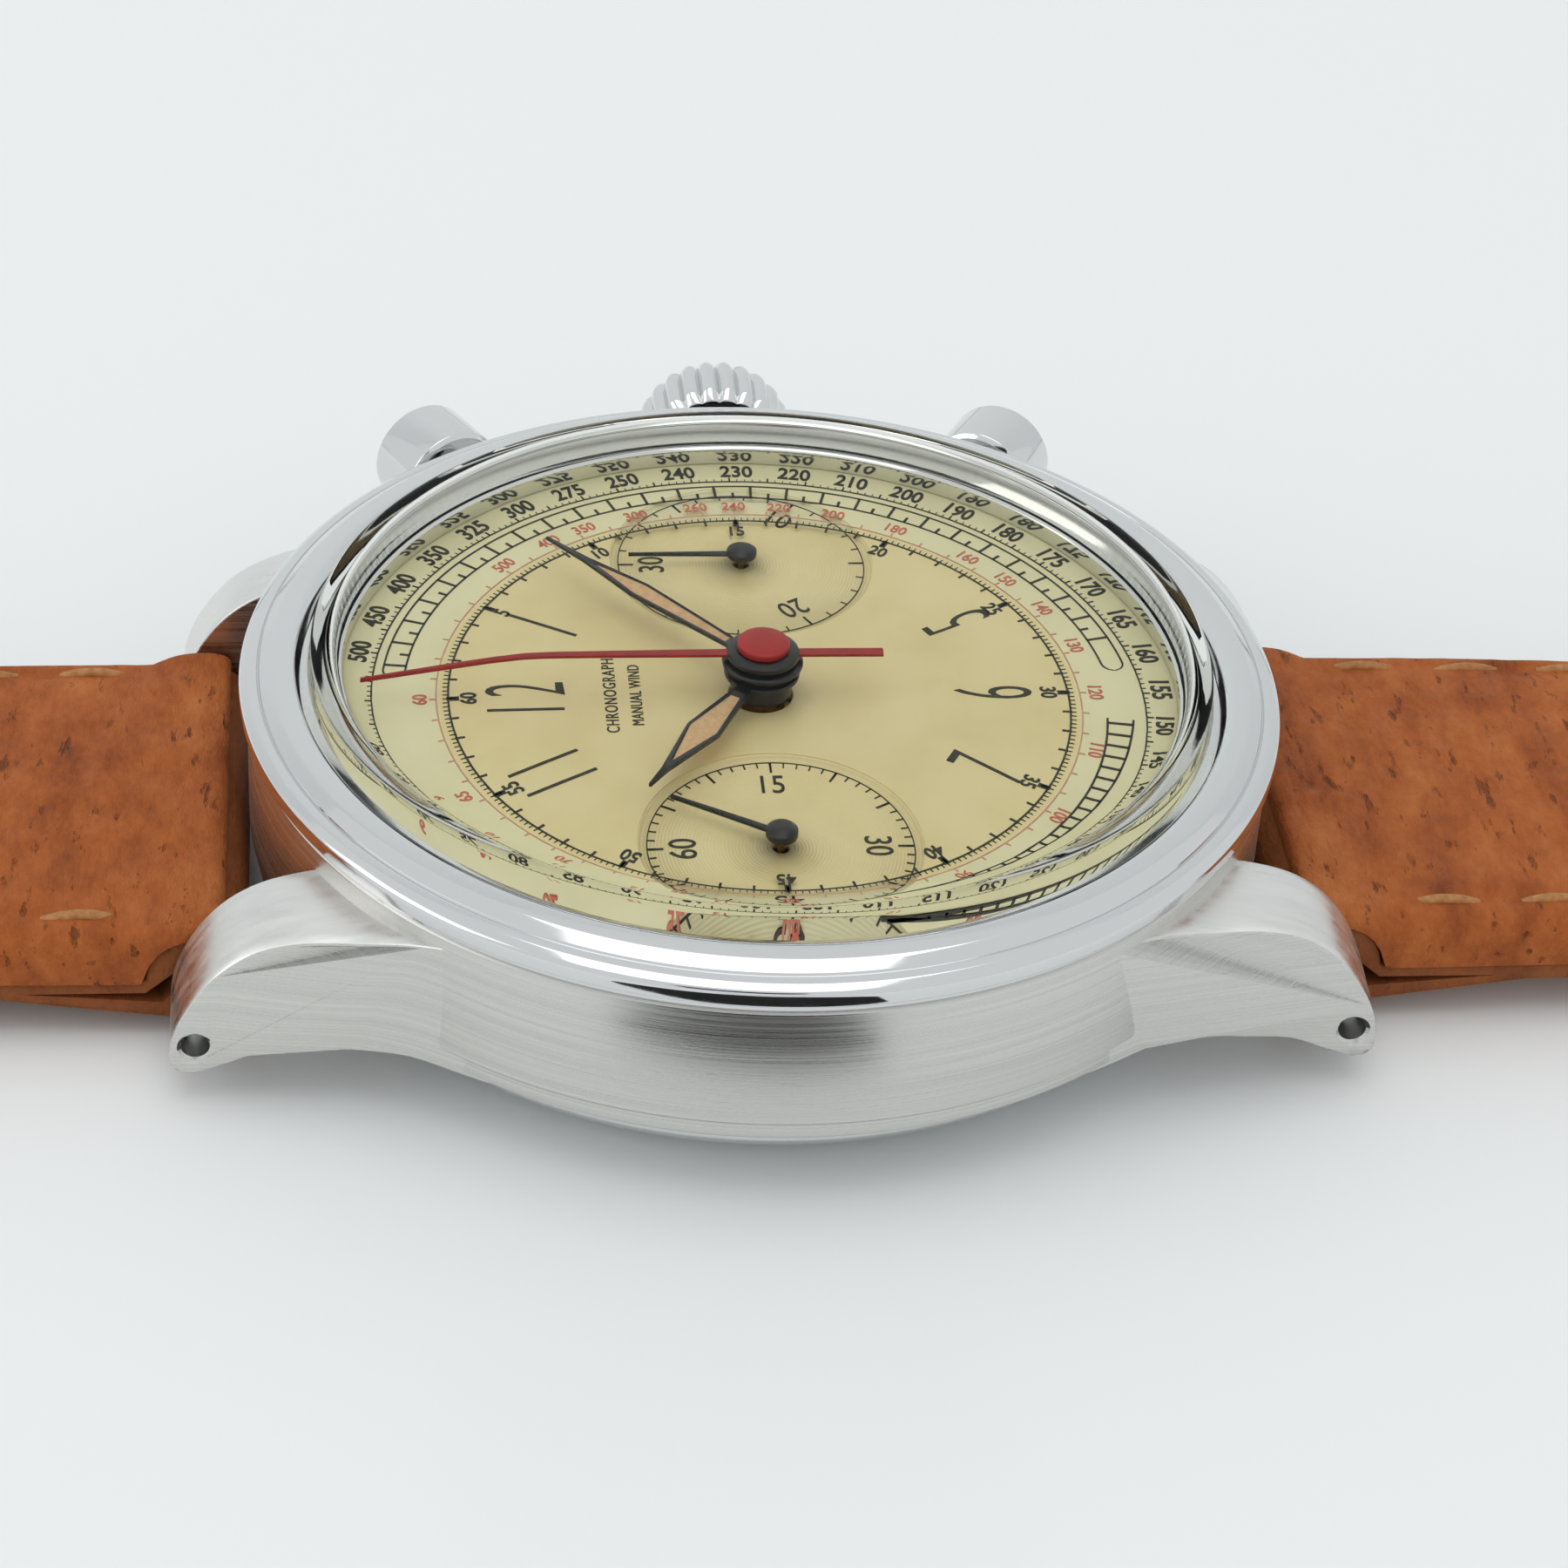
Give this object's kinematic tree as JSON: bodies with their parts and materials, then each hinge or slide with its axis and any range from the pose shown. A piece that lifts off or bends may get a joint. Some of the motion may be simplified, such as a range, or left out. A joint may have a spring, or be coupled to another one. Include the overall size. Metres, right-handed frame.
{
  "type": "chronograph wristwatch",
  "caption": "Round steel chronograph wristwatch with two pump pushers, crown, cream dial with two sub-dials and a stitched brown leather strap with tang buckle.",
  "frame": {"origin": "centre of the flat case back, on the surface the watch lies on", "axes": "+Z out of the dial, +Y towards 12 o'clock along the strap, +X towards 3 o'clock and the crown"},
  "size_m": [0.0412, 0.24, 0.012],
  "materials": {
    "brushed_case_steel": "fine horizontal brushing with light wear scratches",
    "polished_steel": "polished stainless steel",
    "acrylic_crystal": "clear polished domed acrylic",
    "gasket_rubber": "matte black",
    "dial_lacquer": "aged cream lacquer with printed scales",
    "black_hand_enamel": "satin black with cream luminous fill",
    "red_hand_lacquer": "semi-gloss red",
    "movement_steel": "fine grained steel",
    "movement_brass": "gilt and rhodium-washed brass",
    "strap_leather": "rough brown grained calf, tan stitching",
    "lining_leather": "smooth tan lining"
  },
  "bodies": {
    "case": {"case_middle": "brushed_case_steel", "bezel": "polished_steel", "crystal": "acrylic_crystal", "tension_ring": "polished_steel", "case_back": "polished_steel", "back_gasket": "gasket_rubber", "start_stop_tube": "polished_steel", "reset_tube": "polished_steel", "crown_tube": "polished_steel", "dial": "dial_lacquer", "main_plate": "movement_brass", "movement_ring": "movement_brass", "barrel_bridge": "movement_brass", "train_bridge": "movement_brass", "balance_cock": "movement_brass", "chronograph_bridge": "movement_brass", "barrel_bridge_screw_1": "movement_steel", "barrel_bridge_screw_2": "movement_steel", "train_bridge_screw": "movement_steel", "balance_cock_screw": "movement_steel", "spring_bar_12": "polished_steel", "spring_bar_6": "polished_steel"},
    "setting_yoke": {"setting_yoke": "movement_steel"},
    "crown": {"crown": "polished_steel", "winding_stem": "movement_steel", "winding_pinion": "movement_steel"},
    "start_stop_pusher": {"start_stop_pusher": "polished_steel"},
    "reset_pusher": {"reset_pusher": "polished_steel"},
    "operating_lever": {"operating_lever": "movement_steel"},
    "reset_hammer": {"reset_hammer": "movement_steel"},
    "column_wheel": {"column_wheel": "movement_steel"},
    "minute_hand": {"cannon_pinion": "movement_steel", "minute_hand": "black_hand_enamel"},
    "minute_wheel": {"minute_wheel": "movement_brass"},
    "hour_hand": {"hour_wheel": "movement_brass", "hour_hand": "black_hand_enamel"},
    "running_seconds": {"fourth_wheel": "movement_brass", "running_seconds_hand": "black_hand_enamel"},
    "third_wheel": {"third_wheel": "movement_brass"},
    "centre_wheel": {"centre_wheel": "movement_brass"},
    "mainspring_barrel": {"mainspring_barrel": "movement_brass"},
    "escape_wheel": {"escape_wheel": "movement_steel"},
    "pallet_fork": {"pallet_fork": "movement_steel"},
    "balance": {"balance_wheel": "movement_brass", "hairspring": "movement_steel"},
    "chronograph": {"chronograph_wheel": "movement_brass", "chronograph_hand": "red_hand_lacquer"},
    "minute_register": {"minute_register_wheel": "movement_brass", "minute_register_hand": "black_hand_enamel"},
    "ratchet_wheel": {"ratchet_wheel": "movement_steel"},
    "crown_wheel": {"crown_wheel": "movement_steel"},
    "buckle_strap": {"buckle_strap_upper": "strap_leather", "buckle_strap_lining": "lining_leather", "fixed_keeper": "strap_leather"},
    "hole_strap": {"hole_strap_upper": "strap_leather", "hole_strap_lining": "lining_leather"},
    "free_keeper": {"free_keeper": "strap_leather"},
    "buckle": {"buckle_frame": "polished_steel", "buckle_bar": "polished_steel"},
    "buckle_tongue": {"buckle_tongue": "polished_steel"}
  },
  "joints": [
    {"name": "crown_pull", "type": "slide", "parent": "case", "child": "setting_yoke", "axis": [1, 0, 0], "range_m": [0, 0.001]},
    {"name": "crown_turn", "type": "hinge", "parent": "setting_yoke", "child": "crown", "pos_m": [0.015, 0, 0.0063], "axis": [1, 0, 0], "continuous": true},
    {"name": "crown_wheel_turn", "type": "hinge", "parent": "case", "child": "crown_wheel", "pos_m": [0.00793, 0.00334, 0.004], "axis": [0, 0, 1], "continuous": true},
    {"name": "ratchet_turn", "type": "hinge", "parent": "case", "child": "ratchet_wheel", "pos_m": [0.00254, 0.00478, 0.004], "axis": [0, 0, 1], "continuous": true},
    {"name": "start_stop_push", "type": "slide", "parent": "case", "child": "start_stop_pusher", "axis": [-0.8704, -0.4924, 0], "range_m": [0, 0.0009], "stiffness_N_per_m": 500, "springref_m": -0.0004},
    {"name": "operating_lever_swing", "type": "hinge", "parent": "case", "child": "operating_lever", "pos_m": [0.0055, 0.012, 0.004], "axis": [0, 0, 1], "range_deg": [-7, 0]},
    {"name": "column_wheel_step", "type": "hinge", "parent": "case", "child": "column_wheel", "pos_m": [0.008, 0.0076, 0.004], "axis": [0, 0, 1], "range_deg": [0, 31]},
    {"name": "reset_push", "type": "slide", "parent": "case", "child": "reset_pusher", "axis": [-0.8704, 0.4924, 0], "range_m": [0, 0.0009], "stiffness_N_per_m": 500, "springref_m": -0.0004},
    {"name": "reset_hammer_swing", "type": "hinge", "parent": "case", "child": "reset_hammer", "pos_m": [0.0055, -0.012, 0.004], "axis": [0, 0, 1], "range_deg": [0, 7]},
    {"name": "hand_turn", "type": "hinge", "parent": "case", "child": "minute_hand", "pos_m": [0, 0, 0.009], "axis": [0, 0, 1], "continuous": true},
    {"name": "minute_wheel_turn", "type": "hinge", "parent": "case", "child": "minute_wheel", "pos_m": [-0.00059, 0.00336, 0.004], "axis": [0, 0, 1], "continuous": true},
    {"name": "hour_turn", "type": "hinge", "parent": "case", "child": "hour_hand", "pos_m": [0, 0, 0.0085], "axis": [0, 0, 1], "continuous": true},
    {"name": "running_seconds_turn", "type": "hinge", "parent": "case", "child": "running_seconds", "pos_m": [-0.0084, 0, 0.004], "axis": [0, 0, 1], "continuous": true},
    {"name": "third_wheel_turn", "type": "hinge", "parent": "case", "child": "third_wheel", "pos_m": [-0.00496, -0.0023, 0.004], "axis": [0, 0, 1], "continuous": true},
    {"name": "centre_wheel_turn", "type": "hinge", "parent": "case", "child": "centre_wheel", "pos_m": [0, 0, 0.004], "axis": [0, 0, 1], "continuous": true},
    {"name": "barrel_turn", "type": "hinge", "parent": "case", "child": "mainspring_barrel", "pos_m": [0.00254, 0.00478, 0.004], "axis": [0, 0, 1], "continuous": true},
    {"name": "escape_wheel_turn", "type": "hinge", "parent": "case", "child": "escape_wheel", "pos_m": [-0.00925, -0.00316, 0.004], "axis": [0, 0, 1], "continuous": true},
    {"name": "pallet_fork_swing", "type": "hinge", "parent": "case", "child": "pallet_fork", "pos_m": [-0.00707, -0.0055, 0.004], "axis": [0, 0, 1], "range_deg": [-3, 3]},
    {"name": "balance_swing", "type": "hinge", "parent": "case", "child": "balance", "pos_m": [-0.00325, -0.0096, 0.004], "axis": [0, 0, 1], "range_deg": [-270, 270], "stiffness_Nm_per_rad": 0.00000025},
    {"name": "chronograph_turn", "type": "hinge", "parent": "case", "child": "chronograph", "pos_m": [0, 0, 0.0095], "axis": [0, 0, 1], "continuous": true},
    {"name": "minute_register_turn", "type": "hinge", "parent": "case", "child": "minute_register", "pos_m": [0.0084, 0, 0.004], "axis": [0, 0, 1], "continuous": true},
    {"name": "buckle_strap_swing", "type": "hinge", "parent": "case", "child": "buckle_strap", "pos_m": [0, 0.0202, 0.0019], "axis": [1, 0, 0], "range_deg": [-80, 10]},
    {"name": "hole_strap_swing", "type": "hinge", "parent": "case", "child": "hole_strap", "pos_m": [0, -0.0202, 0.0019], "axis": [-1, 0, 0], "range_deg": [-80, 10]},
    {"name": "free_keeper_slide", "type": "slide", "parent": "buckle_strap", "child": "free_keeper", "axis": [0, 1, 0], "range_m": [-0.006, 0.006]},
    {"name": "buckle_swing", "type": "hinge", "parent": "buckle_strap", "child": "buckle", "pos_m": [0, 0.0945, 0.002], "axis": [1, 0, 0], "range_deg": [-60, 40]},
    {"name": "buckle_tongue_swing", "type": "hinge", "parent": "buckle", "child": "buckle_tongue", "pos_m": [0, 0.0945, 0.002], "axis": [1, 0, 0], "range_deg": [0, 50]}
  ],
  "couplings": [
    {"joint": "crown_wheel_turn", "follows": "crown_turn", "ratio": 0.6},
    {"joint": "ratchet_turn", "follows": "crown_turn", "ratio": -0.4},
    {"joint": "operating_lever_swing", "follows": "start_stop_push", "rad_per_m": -129.27},
    {"joint": "column_wheel_step", "follows": "start_stop_push", "rad_per_m": 581.78},
    {"joint": "reset_hammer_swing", "follows": "reset_push", "rad_per_m": 129.27},
    {"joint": "minute_wheel_turn", "follows": "hand_turn", "ratio": -0.33333},
    {"joint": "hour_turn", "follows": "hand_turn", "ratio": 0.083333},
    {"joint": "third_wheel_turn", "follows": "running_seconds_turn", "ratio": -0.13333},
    {"joint": "centre_wheel_turn", "follows": "running_seconds_turn", "ratio": 0.016667},
    {"joint": "barrel_turn", "follows": "running_seconds_turn", "ratio": -0.0020833},
    {"joint": "escape_wheel_turn", "follows": "running_seconds_turn", "ratio": -6.6667},
    {"joint": "minute_register_turn", "follows": "chronograph_turn", "ratio": 0.033333}
  ]
}
